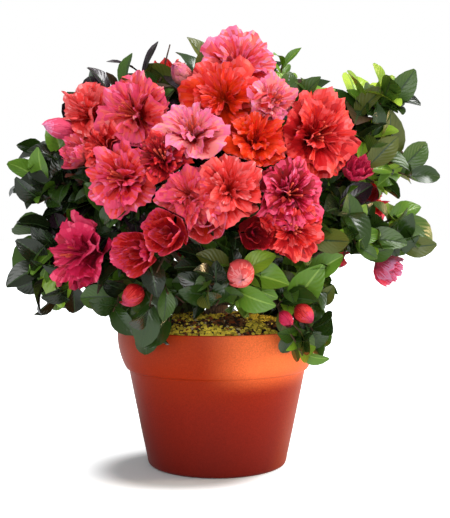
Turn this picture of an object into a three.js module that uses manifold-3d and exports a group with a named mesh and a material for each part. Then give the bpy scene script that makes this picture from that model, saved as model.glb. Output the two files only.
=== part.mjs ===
// A double-flowered azalea shrub in a terracotta-coloured plastic pot.
// Millimetres, +Z up. The origin is the centre of the pot's flat underside, and the front faces -Y.
import * as THREE from 'three';
import { mergeVertices } from 'three/addons/utils/BufferGeometryUtils.js';
import Module from 'manifold-3d';

const wasm = await Module();
wasm.setup();

// ---- Driving dimensions ----

const GAP = 0.3; // between pieces that touch

const POT = {
  height: 115.5,
  rimRadius: 82.5,
  bandHeight: 35, // the rim band, from the lip down to the groove under it
  bandDrop: 17, // its upright upper part
  bandSlope: 8, // below that it first narrows by bandTaper over this height
  bandTaper: 2.4,
  ledge: 2.4, // the band's lower edge stands this far out of the groove
  grooveRadius: 73.2,
  footRadius: 57,
  heel: 4, // the rounded corner at its foot
  wall: 2.6,
  sides: 40,
};

const SOIL = { edgeHeight: 110, crownHeight: 124, padRadius: 16, mound: 1.6 };

const TRUNK = { height: 27, flareRadius: 12, radius: 8.5, topRadius: 6.5, lean: 3, sides: 10 };

const BOUGH = {
  leaderRadius: 4.6,
  baseRadius: 2.7,
  tipRadius: 1.6,
  lowStart: 8, // above the trunk's foot, for the low masses' boughs
  highStart: 16, // and for those of the masses above highFrom
  highFrom: 200,
  stagger: 3.5, // every other bough starts this much higher
  leaderStart: 0.32, // up the leader, where the first bough leaves it
  leaderStep: 0.07,
  bowOut: 6, // of its middle, outwards
  bowDown: 4,
  sides: 5,
  steps: 3,
};

const CROWN_MIDDLE = new THREE.Vector3(0, 0, 190); // shoots face away from here unless told otherwise
const CELL_MARGIN = 0.35; // clear space that each mass keeps from its neighbours' space
const LIMB_CLEARANCE = 1.8; // from any leaf or twig to a limb
const POT_CLEARANCE = 1.5;
const SOIL_VIEW = { left: -33, right: 46, back: -25, top: 139 }; // no growth here, so the soil shows
const OPEN_RIGHT = { from: 90, top: 174 }; // no leaves here, so the lower right stays open
const OPEN_LEFT = { from: -74, top: 128 }; // nor here, beside the rim's left
const LOWEST_LEAF = 98; // leaves that hang over the rim stop here
const SMALLEST_DETAIL = 0.2; // slivers under this, where leaves and twigs join, are merged away

// A mass's stem starts on the way out to its heart, between these shares of it, and stops short of the heart.
const STEM = { radius: 1.7, first: 0.42, last: 0.95, step: 0.03, reach: 0.8, leaves: 3, opening: [55, 75] };
const TWIG = { radius: 1.3, tipRadius: 1.1, forks: [0.6, 0.75, 0.9, 0.45, 0.3, 0.97] }; // shares up the stem

// The other sizes are shares of the leaf's length. A leaf with no room is tried at each lesser share.
const LEAF = { length: 42, width: 0.52, keel: 0.07, arch: 0.08, droop: 0.12, room: 0.48 };
const LEAF_SHARES = [1, 0.8, 0.64];
const LEAF_SINK = 1.2; // a leaf's foot goes this far past its twig's middle
const WHORL = { leaves: 5, opening: [62, 84], spacing: 4 }; // below each bloom
const TUFT = { leaves: 9, opening: [46, 96], spacing: 2.6 }; // on a shoot that carries leaves alone

// The other sizes are shares of the flower's diameter, or of its depth for the inner whorl and the throat.
const FLOWER = { petals: 5, depth: 0.36, inner: 1.2, throat: 0.8 };
const PETAL = { lobe: 0.16, innerLobe: -0.2, ruffle: 0.045 };
const CUP = { width: 0.72, depth: 0.55 };
const FLOWER_SHARES = [1, 0.9, 0.8, 0.7, 0.6];
const FLOWER_PULL = 0.35; // the most that a crowded petal is drawn in towards its flower's heart
const FLOWER_ROOM = 0.1; // that leaves keep clear of its heart besides
const SET_BACK = { bloom: 0.34, cup: 0.34, bud: 0.7, tuft: 0.45 }; // from a shoot's tip to its last leaves

// ---- Crown layout ----
// A shoot is one twig's tip: its bearing in degrees round the trunk's axis (0 is the front, 90 the right),
// how far out and how high it is, and the size of what it carries. It faces away from the crown's middle,
// or along face: [bearing, rise above level].

const shoot = (kind) => (bearing, out, up, size, face) => ({ kind, bearing, out, up, size, face });
const bloom = shoot('bloom'); // an open double flower, size is its diameter
const cup = shoot('cup'); // a half-open flower
const bud = shoot('bud'); // a fat closed bud, size is its length
const tuft = shoot('tuft'); // leaves alone, size is their length

const FRONT_MASSES = {
  crown_top: ['leader', bloom(16, 66, 322, 58, [12, 22]), bud(-24, 74, 318, 26, [-30, 25]),
    tuft(-64, 62, 304, 38), tuft(95, 52, 318, 40)],
  upper_front: ['leader', bloom(3, 104, 292, 60, [-4, 8]), bloom(22, 112, 290, 40, [22, 10]),
    tuft(48, 84, 308, 42)],
  front_high: ['leader', bloom(14, 122, 263, 50), bloom(-8, 122, 268, 52), bloom(-17, 132, 248, 42)],
  upper_left: ['leader', bloom(-65, 116, 286, 54, [-42, 12]), bud(-68, 138, 275, 28, [-56, 5]),
    tuft(-84, 104, 282, 30, [-80, 20])],
  upper_left_front: ['leader', bloom(-33, 116, 283, 58, [-24, 12]), bloom(-43, 127, 260, 38),
     tuft(-42, 92, 306, 36, [-62, 22])],
  upper_right: ['leader', bloom(38, 124, 266, 64, [22, 6]), tuft(44, 100, 300, 40, [30, 40])],
  front_left: ['trunk', bloom(-31, 135, 234, 54, [-24, 8]), cup(-52, 134, 252, 34, [-50, 20]),
    tuft(-40, 132, 208, 42, [-34, 0])],
  front_centre: ['trunk', bloom(-8, 136, 222, 46), bloom(4, 137, 226, 50), cup(-3, 138, 202, 40)],
  front_right: ['trunk', bloom(23, 137, 222, 50, [15, 5]), bloom(24, 135, 196, 46, [10, -5]),
    cup(12, 132, 194, 30)],
  right_high: ['trunk', tuft(79, 160, 250, 54, [70, 8]), tuft(78, 132, 310, 44, [64, 40]),
    cup(52, 134, 240, 28, [30, 40]), tuft(62, 130, 262, 44, [45, 10])],
  right_low: ['trunk', tuft(82, 172, 208, 52, [74, 5]), tuft(54, 134, 214, 46, [42, 0]),
    cup(81, 140, 164, 34, [62, -25]), tuft(60, 136, 198, 40, [50, 0])],
  left: ['trunk', tuft(-68, 148, 234, 50, [-50, 5]), tuft(-86, 148, 220, 46, [-75, 0]),
    tuft(-82, 136, 258, 40, [-75, 20])],
  left_low: ['trunk', bloom(-50, 137, 178, 62, [-56, 0]), tuft(-80, 158, 196, 50, [-70, 5]),
    tuft(-78, 150, 162, 50, [-66, -45])],
  front_left_low: ['trunk', cup(-24, 138, 180, 42), cup(-14, 140, 194, 40), bud(-30, 128, 146, 26),
    tuft(-26, 102, 116, 52, [-24, -60]), tuft(-46, 124, 150, 44, [-42, -20])],
  front_low: ['trunk', bud(8, 132, 162, 34, [6, -12]), tuft(-6, 116, 164, 38),
    tuft(18, 122, 166, 42, [22, 4])],
  front_right_low: ['trunk', bud(35, 120, 130, 24), bud(26, 120, 129, 18), tuft(40, 126, 158, 48, [35, -5]),
    tuft(52, 104, 130, 34, [46, -60])],
};

// The back is as full as the front: rings of like masses. Each has a bloom spread to either side of its
// bearing, one lifted and one lowered, and leaves between, tuftLift up from the ring's height and tuftTurns
// round from the bearing.
const BACK_RINGS = [
  ['back_top', 'leader', [192], { out: 54, up: 320, size: 56, spread: 40, lift: 6 }],
  ['back_upper', 'leader', [118, 178, 238], { out: 104, up: 288, size: 56, spread: 16, lift: 9 }],
  ['back_middle', 'trunk', [112, 157, 201, 245], { out: 132, up: 234, size: 56, spread: 11, lift: 15 }],
  ['back_low', 'trunk', [140, 180, 222],
    { out: 128, up: 174, size: 54, spread: 12, lift: -10, tuftLift: -40, tuftTurns: [0, 21] }],
];
const BACK_TUFT = { lift: 22, inset: 8 };
const BACK_SMALLER = 6; // the second bloom's diameter is less by this

const radians = THREE.MathUtils.degToRad;

// A point from its bearing, distance and height.
function place(bearing, out, up) {
  return new THREE.Vector3(out * Math.sin(radians(bearing)), -out * Math.cos(radians(bearing)), up);
}

// A direction from its bearing and its rise above level.
function heading(bearing, rise) {
  return place(bearing, Math.cos(radians(rise)), Math.sin(radians(rise)));
}

// Seeded numbers from 0 to 1, the same on each run.
function seeded(seed) {
  let state = (seed * 2654435761) % 4294967296;
  return () => {
    state = (state * 1664525 + 1013904223) % 4294967296;
    return state / 4294967296;
  };
}

function backMasses() {
  const made = {};
  for (const [name, from, bearings, ring] of BACK_RINGS) {
    const { out, up, size, spread, lift, tuftLift = BACK_TUFT.lift, tuftTurns = [0] } = ring;
    bearings.forEach((bearing, i) => {
      const rise = i % 2 ? lift : -lift;
      made[`${name}_${i + 1}`] = [
        from,
        bloom(bearing - spread, out, up + rise, size),
        bloom(bearing + spread, out, up - rise, size - BACK_SMALLER),
        ...tuftTurns.map((turn) => tuft(bearing + turn, out - BACK_TUFT.inset, up + tuftLift, LEAF.length)),
      ];
    });
  }
  return made;
}

// The masses, each with its name, the limb that its bough grows from, and its shoots in space.
function layOut() {
  const rows = Object.entries({ ...FRONT_MASSES, ...backMasses() });
  return rows.map(([name, [from, ...shoots]], index) => ({
    name,
    from,
    index,
    shoots: shoots.map((s) => {
      const tip = place(s.bearing, s.out, s.up);
      const away = s.face ? heading(...s.face) : tip.clone().sub(CROWN_MIDDLE).normalize();
      return { ...s, tip, away, middle: tip.clone().addScaledVector(away, -s.size * 0.15) };
    }),
  }));
}

// ---- Solids ----

function solidOf(geometry) {
  const bare = new THREE.BufferGeometry().setAttribute('position', geometry.getAttribute('position'));
  if (geometry.index) bare.setIndex(geometry.index);
  const merged = mergeVertices(bare, 1e-4);
  return new wasm.Manifold(new wasm.Mesh({
    numProp: 3,
    vertProperties: new Float32Array(merged.attributes.position.array),
    triVerts: new Uint32Array(merged.index.array),
  }));
}

function meshOf(solid) {
  const { numProp, numVert, vertProperties, triVerts } = solid.getMesh();
  const positions = new Float32Array(numVert * 3);
  for (let i = 0; i < numVert; i += 1) {
    positions.set(vertProperties.subarray(i * numProp, i * numProp + 3), i * 3);
  }
  return { positions, indices: new Uint32Array(triVerts) };
}

function geometryOf(solid) {
  const { positions, indices } = meshOf(solid);
  return new THREE.BufferGeometry()
    .setAttribute('position', new THREE.BufferAttribute(positions, 3))
    .setIndex(new THREE.BufferAttribute(indices, 1));
}

// Whether each edge of a solid has two faces and no more, once vertices at the same place count as one.
function closed(solid) {
  const { positions, indices } = meshOf(solid);
  const spot = (i) => positions.slice(i * 3, i * 3 + 3).join();
  const uses = new Map();
  for (let i = 0; i < indices.length; i += 3) {
    const corners = [0, 1, 2].map((k) => spot(indices[i + k]));
    corners.forEach((corner, k) => {
      const edge = [corner, corners[(k + 1) % 3]].sort().join();
      uses.set(edge, (uses.get(edge) ?? 0) + 1);
    });
  }
  return [...uses.values()].every((count) => count === 2);
}

// The largest of a solid's separate bodies: a loose scrap is dropped.
function largest(solid) {
  const [first, ...rest] = solid.decompose();
  return rest.reduce((a, b) => (a.volume() >= b.volume() ? a : b), first);
}

// Merges a solid's slivers away, as far as it stays closed.
function tidied(solid) {
  for (let detail = SMALLEST_DETAIL; detail > SMALLEST_DETAIL / 10; detail /= 2) {
    const leaner = solid.asOriginal().simplify(detail);
    if (closed(leaner) && leaner.decompose().length === 1) return leaner;
  }
  return solid;
}

// Moves every vertex of a geometry by a rule that changes the point it is given.
function reshape(geometry, rule) {
  const position = geometry.getAttribute('position');
  const point = new THREE.Vector3();
  for (let i = 0; i < position.count; i += 1) {
    point.fromBufferAttribute(position, i);
    rule(point);
    position.setXYZ(i, point.x, point.y, point.z);
  }
  return geometry;
}

// A closed solid of revolution about Z from [radius, height] pairs that start and end on the axis.
function turned(profile, sides) {
  const points = profile.map(([r, z]) => new THREE.Vector2(r, z));
  return new THREE.LatheGeometry(points, sides).rotateX(Math.PI / 2);
}

// A matrix that takes +Z to a direction and the origin to a point.
function standing(point, direction) {
  const up = new THREE.Vector3(0, 0, 1);
  const turn = new THREE.Quaternion().setFromUnitVectors(up, direction.clone().normalize());
  return new THREE.Matrix4().compose(point, turn, new THREE.Vector3(1, 1, 1));
}

// A tapering limb along a curve, from a cylinder that is bent to it, grown all round by extra.
function limb(curve, baseRadius, tipRadius, sides, steps, extra = 0) {
  const cylinder = new THREE.CylinderGeometry(1, 1, 1, sides, steps).rotateX(Math.PI / 2);
  const axis = curve.getPoint(1).sub(curve.getPoint(0));
  const across = new THREE.Vector3(0, 0, 1).cross(axis);
  if (across.length() < 0.2 * axis.length()) across.set(1, 0, 0);
  return reshape(cylinder, (p) => {
    const t = THREE.MathUtils.clamp(p.z + 0.5, 0, 1);
    const along = curve.getTangent(t);
    const side = along.clone().cross(across).normalize();
    const other = along.clone().cross(side);
    const r = THREE.MathUtils.lerp(baseRadius, tipRadius, t) + extra;
    const middle = curve.getPoint(t).addScaledVector(along, (2 * t - 1) * extra);
    p.copy(middle.addScaledVector(other, p.x * r).addScaledVector(side, -p.y * r));
  });
}

// ---- Pot and soil ----

// The pot's outer radius at a height, on its straight lower wall.
function bodyRadius(height) {
  const top = POT.height - POT.bandHeight;
  return THREE.MathUtils.lerp(POT.footRadius, POT.grooveRadius, height / top);
}

function soilHeight(radius) {
  const { edgeHeight, crownHeight, padRadius, mound } = SOIL;
  const share = (radius - padRadius) / (POT.rimRadius - POT.wall - padRadius);
  return THREE.MathUtils.lerp(crownHeight, edgeHeight, THREE.MathUtils.clamp(share, 0, 1) ** mound);
}

function potProfiles() {
  const { height, rimRadius, bandHeight, bandDrop, bandSlope, bandTaper, ledge, grooveRadius } = POT;
  const { footRadius, heel, wall } = POT;
  const groove = height - bandHeight;
  const shoulder = height - bandDrop;
  const outside = [
    [0, 0],
    [footRadius - heel, 0],
    [footRadius - heel * 0.3, heel * 0.3],
    [bodyRadius(heel), heel],
    [grooveRadius, groove - 1],
    [grooveRadius + ledge, groove + 1],
    [rimRadius - bandTaper, shoulder - bandSlope],
    [rimRadius + 0.5, shoulder],
    [rimRadius, height - 1],
    [rimRadius - 1, height],
  ];
  const inside = [
    [rimRadius - wall, height - 0.6],
    [rimRadius - wall, shoulder],
    [grooveRadius - wall, groove - 1],
    [bodyRadius(wall) - wall, wall],
    [0, wall],
  ];
  return { outside, inside };
}

function pot() {
  const { outside, inside } = potProfiles();
  return turned([...outside, ...inside], POT.sides);
}

// Soil fills the pot, GAP clear of its wall, and mounds up to a small level pad for the trunk's foot.
function soil() {
  const below = potProfiles().inside.slice(1).reverse();
  const lining = below.map(([r, z]) => [Math.max(r - GAP, 0), z + (z === POT.wall ? GAP : 0)]);
  const edge = POT.rimRadius - POT.wall - GAP;
  const surface = [1, 0.6, 0.25, 0].map((share) => {
    const radius = THREE.MathUtils.lerp(SOIL.padRadius, edge, share);
    return [radius, soilHeight(radius)];
  });
  return turned([...lining, ...surface, [0, SOIL.crownHeight]], POT.sides / 2);
}

// ---- Trunk and boughs ----

const TRUNK_FOOT = SOIL.crownHeight + GAP;
const TRUNK_TOP = TRUNK_FOOT + TRUNK.height;

// The trunk's middle at a height: it leans a little to the right as it rises.
function trunkMiddle(height) {
  const share = (height - TRUNK_FOOT) / TRUNK.height;
  return new THREE.Vector3(TRUNK.lean * share * share, 0, height);
}

function trunk(extra = 0) {
  const { flareRadius, radius, topRadius, height, sides } = TRUNK;
  const flare = height / 5;
  const profile = [
    [0, -extra],
    [flareRadius + extra, -extra],
    [radius + 1 + extra, flare],
    [radius + extra, flare * 2],
    [topRadius + extra, height + extra],
    [0, height + extra],
  ];
  return reshape(turned(profile, sides), (p) => {
    p.add(trunkMiddle(TRUNK_FOOT + p.z).setZ(TRUNK_FOOT));
  });
}

// Each mass takes its space by its shoots: a point belongs to the shoot that is nearest for its size.
function power(point, s) {
  return point.distanceToSquared(s.middle) - (s.size / 2) ** 2;
}

// Whether a point keeps to a mass's own space, a margin clear of every other mass's.
function inSpace(point, mass, masses, margin = CELL_MARGIN) {
  const own = mass.shoots.reduce((a, b) => (power(point, a) <= power(point, b) ? a : b));
  return masses.every((other) => other === mass || other.shoots.every((s) =>
    power(point, s) - power(point, own) >= 2 * margin * s.middle.distanceTo(own.middle)));
}

function clearOfPot(point) {
  const { left, right, back, top } = SOIL_VIEW;
  if (point.x > left && point.x < right && point.y < back && point.z < top) return false;
  const radius = Math.hypot(point.x, point.y);
  if (radius > POT.rimRadius + POT_CLEARANCE) return point.z > 0;
  if (radius > POT.rimRadius - POT.wall - POT_CLEARANCE) return point.z > POT.height + POT_CLEARANCE;
  return point.z > soilHeight(radius) + POT_CLEARANCE;
}

// Whether a point hangs too far over the rim, or lies in the open space at either side.
function tooLow({ x, z }) {
  if (x > OPEN_RIGHT.from) return z < OPEN_RIGHT.top;
  return z < (x < OPEN_LEFT.from ? OPEN_LEFT.top : LOWEST_LEAF);
}

function middleOf(points) {
  return points.reduce((sum, p) => sum.add(p), new THREE.Vector3()).divideScalar(points.length);
}

// Where a mass's stem begins: on the way out from the limb, as soon as the way ahead is all its own.
function stemRoot(start, heart, mass, masses) {
  const own = (p) => inSpace(p, mass, masses, STEM.radius + CELL_MARGIN);
  for (let share = STEM.first; share < STEM.last; share += STEM.step) {
    const root = start.clone().lerp(heart, share);
    if ([0, 0.25, 0.5, 0.75].every((t) => own(root.clone().lerp(heart, t)))) return root;
  }
  return start.clone().lerp(heart, STEM.last);
}

// The leader goes on from the trunk's top. Every other bough leaves the trunk or the leader at its side,
// at heights that step up it.
function planBoughs(masses) {
  const counts = { trunk: 0, leader: 0 };
  const [leader] = masses;
  for (const mass of masses) {
    mass.heart = middleOf(mass.shoots.map((s) => s.tip.clone().addScaledVector(s.away, -s.size * 0.4)));
    const outward = mass.heart.clone().setZ(0).normalize();
    const high = mass.heart.z > BOUGH.highFrom ? BOUGH.highStart : BOUGH.lowStart;
    const step = counts[mass.from];
    counts[mass.from] += mass === leader ? 0 : 1;
    let start = trunkMiddle(TRUNK_FOOT + high + (step % 2) * BOUGH.stagger);
    if (mass.from === 'leader') {
      start = mass === leader
        ? trunkMiddle(TRUNK_TOP).add(new THREE.Vector3(0, 0, GAP))
        : leader.bough.curve.getPoint(BOUGH.leaderStart + BOUGH.leaderStep * step);
    }
    const root = stemRoot(start, mass.heart, mass, masses);
    const bend = start.clone().lerp(root, 0.5);
    if (mass !== leader) bend.addScaledVector(outward, BOUGH.bowOut).setZ(bend.z - BOUGH.bowDown);
    const curve = new THREE.QuadraticBezierCurve3(start, bend, root);
    mass.bough = { curve, baseRadius: mass === leader ? BOUGH.leaderRadius : BOUGH.baseRadius };
  }
}

function boughGeometry({ curve, baseRadius }, extra = 0) {
  return limb(curve, baseRadius, BOUGH.tipRadius, BOUGH.sides, BOUGH.steps, extra);
}

function clearOfLimbs(point, masses) {
  return masses.every(({ bough }) => {
    const places = bough.curve.getPoints(10);
    return places.every((middle, i) => {
      const radius = THREE.MathUtils.lerp(bough.baseRadius, BOUGH.tipRadius, i / 10);
      return middle.distanceTo(point) > radius + LIMB_CLEARANCE;
    });
  });
}

// ---- Leaves, blooms and buds, each standing on the origin and growing along +Z ----

// A leaf has six faces, from its foot to its tip over its two edges and the keel below. Its upper side is +Y.
function leafGeometry(length) {
  const edge = (length * LEAF.width) / 2;
  const arch = length * LEAF.arch;
  const corners = [0, 0, 0, edge, arch, length * 0.55, -edge, arch, length * 0.55,
    0, arch - length * LEAF.keel, length * 0.5, 0, -length * LEAF.droop, length];
  const faces = [0, 2, 1, 4, 1, 2, 0, 3, 2, 4, 2, 3, 0, 1, 3, 4, 3, 1];
  return new THREE.BufferGeometry()
    .setAttribute('position', new THREE.Float32BufferAttribute(corners, 3))
    .setIndex(faces);
}

// A double flower: a wide whorl of five lobed petals, and a smaller whorl standing inside it.
function flowerGeometry(size, { width = 1, depth = FLOWER.depth }, turn) {
  const rim = (width * size) / 2;
  const deep = depth * size;
  const blossom = turned([
    [0, 0],
    [rim * 0.45, deep * 0.45],
    [rim, deep],
    [rim * 0.5, deep * FLOWER.inner],
    [0, deep * FLOWER.throat],
  ], FLOWER.petals * 2);
  return reshape(blossom, (p) => {
    const outer = Math.hypot(p.x, p.y) > rim * 0.9;
    if (!outer && p.z < deep) return;
    const angle = Math.atan2(p.y, p.x);
    const lobe = Math.cos(angle * FLOWER.petals) * (outer ? PETAL.lobe : PETAL.innerLobe);
    const ruffle = PETAL.ruffle * (Math.cos(angle * 2 + turn) + lobe * 4);
    p.set(p.x * (1 + lobe), p.y * (1 + lobe), p.z + size * ruffle);
  }).rotateZ(turn);
}

function budGeometry(size) {
  return turned([[0, 0], [size * 0.3, size * 0.38], [size * 0.24, size * 0.74], [0, size]], 6);
}

// ---- Masses ----

function pointsOf(geometry) {
  const position = geometry.getAttribute('position');
  const indices = [...Array(position.count).keys()];
  return indices.map((i) => new THREE.Vector3().fromBufferAttribute(position, i));
}

// Leaves up a twig that ends at a point, turned by the golden angle, from the youngest at the end downwards.
function leafPlaces({ leaves, opening, spacing }, end, foot, facing, length, random) {
  const reach = foot.distanceTo(end);
  const frame = standing(new THREE.Vector3(), facing);
  const first = random() * Math.PI * 2;
  return Array.from({ length: leaves }, (_, i) => {
    const turn = first + i * radians(137.5) + (random() - 0.5) * 0.4;
    const open = radians(THREE.MathUtils.lerp(opening[0], opening[1], i / (leaves - 1)));
    const size = length * (0.85 + 0.3 * random());
    const matrix = frame.clone()
      .multiply(new THREE.Matrix4().makeRotationZ(turn))
      .multiply(new THREE.Matrix4().makeRotationX(-open))
      .multiply(new THREE.Matrix4().makeRotationZ(Math.PI));
    const along = new THREE.Vector3().setFromMatrixColumn(matrix, 2);
    const root = end.clone().lerp(foot, Math.min(0.9, (i * spacing) / reach));
    return { matrix: matrix.setPosition(root.addScaledVector(along, -LEAF_SINK)), size };
  });
}

// A mass is one solid: its stem, the twig to each shoot, and the flowers and leaves that find room.
function massSolid(mass, masses, wood) {
  const random = seeded(mass.index + 11);
  const pieces = [];
  const hearts = []; // of the flowers and leaves so far, each with the room that it takes
  const fits = (p) => inSpace(p, mass, masses) && clearOfPot(p) && clearOfLimbs(p, masses);

  const addLeaf = ({ matrix, size }) => {
    for (const share of LEAF_SHARES) {
      const leaf = leafGeometry(size * share).applyMatrix4(matrix);
      const [foot, ...free] = pointsOf(leaf);
      const between = free.slice(0, 3).flatMap((p) => [foot, free[3]].map((q) => p.clone().lerp(q, 0.5)));
      const middle = middleOf(free);
      const crowded = hearts.some(({ heart, room }) =>
        heart.distanceTo(middle) < room + size * share * LEAF.room);
      if (crowded || free.some(tooLow) || ![...free, ...between, middle].every(fits)) continue;
      hearts.push({ heart: middle, room: 0 });
      pieces.push(leaf);
      return;
    }
  };

  const addFlower = (s, base, turn) => {
    for (const share of FLOWER_SHARES) {
      const size = s.size * share;
      const shape = s.kind === 'cup' ? CUP : {};
      const flower = s.kind === 'bud' ? budGeometry(size) : flowerGeometry(size, shape, turn);
      flower.applyMatrix4(standing(base, s.away));
      const heart = base.clone().addScaledVector(s.away, size * 0.25);
      reshape(flower, (p) => {
        const open = p.clone();
        for (let pull = 0; pull <= FLOWER_PULL && !fits(p); pull += 0.05) p.copy(open).lerp(heart, pull);
      });
      if (!pointsOf(flower).every(fits)) continue;
      hearts.push({ heart, room: size * FLOWER_ROOM });
      pieces.push(flower);
      return;
    }
  };

  const root = mass.bough.curve.getPoint(1);
  const outward = mass.heart.clone().sub(root).normalize();
  const stemTip = root.clone().lerp(mass.heart, STEM.reach);
  const stemRule = { ...STEM, spacing: root.distanceTo(stemTip) / STEM.leaves };
  pieces.push(limb(new THREE.LineCurve3(root, stemTip), STEM.radius, TWIG.radius, 5, 1));
  leafPlaces(stemRule, stemTip, root, outward, LEAF.length, random).forEach(addLeaf);
  for (const s of mass.shoots) {
    const base = s.tip.clone().addScaledVector(s.away, -s.size * SET_BACK[s.kind]);
    const end = base.clone().addScaledVector(s.away, 2);
    const own = (p) => inSpace(p, mass, masses, TWIG.radius + CELL_MARGIN);
    const clearWay = (from) => [0, 0.2, 0.4, 0.6, 0.8, 1].every((t) => own(from.clone().lerp(end, t)));
    const fork = TWIG.forks.map((share) => root.clone().lerp(stemTip, share)).find(clearWay);
    if (!fork) throw new Error(`${mass.name}: no clear way to the shoot at ${s.bearing}`);
    pieces.push(limb(new THREE.LineCurve3(fork, end), TWIG.radius, TWIG.tipRadius, 3, 1));
    const turn = random() * Math.PI;
    if (s.kind !== 'tuft') addFlower(s, base, turn);
    const [rule, length] = s.kind === 'tuft' ? [TUFT, s.size] : [WHORL, LEAF.length];
    leafPlaces(rule, base, fork, s.away, length, random).forEach(addLeaf);
  }
  return tidied(largest(wasm.Manifold.union(pieces.map(solidOf)).subtract(wood)));
}

// ---- Assembly ----

const COLOURS = {
  pot: new THREE.Color('#c4491f'),
  soil: new THREE.Color('#6b5a2a'),
  bark: new THREE.Color('#5b4330'),
  blossom: new THREE.Color('#d8343c'),
  foliage: new THREE.Color('#33541f'),
};

function material(name, roughness) {
  return new THREE.MeshStandardMaterial({ color: COLOURS[name], roughness, metalness: 0 });
}

function part(name, geometry, finish) {
  const mesh = new THREE.Mesh(geometry, finish);
  mesh.name = name;
  return mesh;
}

const azalea = new THREE.Group();
azalea.name = 'azalea_shrub';

azalea.add(part('pot', pot(), material('pot', 0.45)));
azalea.add(part('soil', soil(), material('soil', 0.95)));
azalea.add(part('trunk', trunk(), material('bark', 0.9)));

const masses = layOut();
planBoughs(masses);

const bark = material('bark', 0.85);
let wood = solidOf(trunk(GAP));
for (const mass of masses) {
  const free = solidOf(boughGeometry(mass.bough)).subtract(wood);
  azalea.add(part(`bough_${mass.name}`, geometryOf(largest(free)), bark));
  wood = wood.add(solidOf(boughGeometry(mass.bough, GAP)));
}

const blossom = material('blossom', 0.6);
const foliage = material('foliage', 0.55);
for (const mass of masses) {
  const finish = mass.shoots.some((s) => s.kind === 'bloom') ? blossom : foliage;
  azalea.add(part(`mass_${mass.name}`, geometryOf(massSolid(mass, masses, wood)), finish));
}

export default azalea;
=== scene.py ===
# A double-flowered azalea shrub in a terracotta-coloured plastic pot.
# The growth rule works in millimetres; the meshes are in metres, +Z up, with the front facing -Y.
import math

import bmesh
import bpy
import numpy as np
from mathutils import Matrix, Vector, noise


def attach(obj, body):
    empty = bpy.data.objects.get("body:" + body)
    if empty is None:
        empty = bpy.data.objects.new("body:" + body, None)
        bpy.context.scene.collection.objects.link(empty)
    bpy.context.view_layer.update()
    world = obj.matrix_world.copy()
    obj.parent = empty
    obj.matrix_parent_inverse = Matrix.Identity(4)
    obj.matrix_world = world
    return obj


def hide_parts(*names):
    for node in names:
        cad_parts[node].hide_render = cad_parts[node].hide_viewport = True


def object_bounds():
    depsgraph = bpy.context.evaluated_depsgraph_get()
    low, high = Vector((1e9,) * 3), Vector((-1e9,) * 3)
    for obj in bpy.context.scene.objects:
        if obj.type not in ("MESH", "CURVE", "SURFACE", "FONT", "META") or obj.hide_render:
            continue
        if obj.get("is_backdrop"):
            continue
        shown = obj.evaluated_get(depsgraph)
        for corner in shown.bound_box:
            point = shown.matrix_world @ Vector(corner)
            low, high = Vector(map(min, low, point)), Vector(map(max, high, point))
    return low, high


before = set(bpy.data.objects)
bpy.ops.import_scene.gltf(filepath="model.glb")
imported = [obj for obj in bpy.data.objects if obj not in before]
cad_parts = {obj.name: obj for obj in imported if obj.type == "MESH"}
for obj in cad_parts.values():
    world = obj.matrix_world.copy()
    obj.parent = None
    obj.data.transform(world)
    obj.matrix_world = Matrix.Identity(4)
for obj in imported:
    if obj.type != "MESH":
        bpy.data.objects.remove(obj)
solid_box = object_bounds()
MM = 0.001


# ---- Camera ----
# Just above the middle of the crown and a little right of the pot, looking almost level.
lens = bpy.data.cameras.new("camera")
lens.lens = 71.1
camera = bpy.data.objects.new("camera", lens)
camera.location = (0.0066, -0.85, 0.204)
camera.rotation_euler = (Vector((0.0066, 0, 0.1703)) - camera.location).to_track_quat("-Z", "Y").to_euler()
bpy.context.scene.collection.objects.link(camera)
bpy.context.scene.camera = camera


# ---- Studio ----
# A white floor under a white sky, with a broad key light from the upper right, a low one from the front that
# reaches under the crown, and one from behind on the right that edges the pot. The floor glows a little to the
# camera, apart from where the pot's shadow lies.
FLOOR_SIZE, FLOOR_GLOW = 8, 0.75
SHADOW_CENTRE, SHADOW_INNER, SHADOW_OUTER = (-0.028, -0.022, 0), 0.05, 0.085


def tinted(code):
    """A linear colour from its #rrggbb code."""
    parts = [int(code[i:i + 2], 16) / 255 for i in (1, 3, 5)]
    return tuple(p / 12.92 if p <= 0.04045 else ((p + 0.055) / 1.055) ** 2.4 for p in parts) + (1,)


def add_piece(name, mesh):
    piece = bpy.data.objects.new(name, mesh)
    bpy.context.scene.collection.objects.link(piece)
    return piece


def finished(bm, name, smooth=True):
    """A piece from a bmesh, which is used up."""
    mesh = bpy.data.meshes.new(name)
    bm.to_mesh(mesh)
    bm.free()
    mesh.polygons.foreach_set("use_smooth", [smooth] * len(mesh.polygons))
    return add_piece(name, mesh)


def plain_finish(name, colour, roughness):
    material = bpy.data.materials.new(name)
    material.use_nodes = True
    shader = material.node_tree.nodes["Principled BSDF"]
    shader.inputs["Base Color"].default_value = tinted(colour)
    shader.inputs["Roughness"].default_value = roughness
    return material, shader


def ranged(tree, value, start, full, low=0, high=1, way="SMOOTHSTEP"):
    """A value that goes from low to high while another goes from start to full."""
    node = tree.nodes.new("ShaderNodeMapRange")
    node.interpolation_type = way
    for key, number in (("From Min", start), ("From Max", full), ("To Min", low), ("To Max", high)):
        node.inputs[key].default_value = number
    tree.links.new(value, node.inputs["Value"])
    return node.outputs["Result"]


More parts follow.
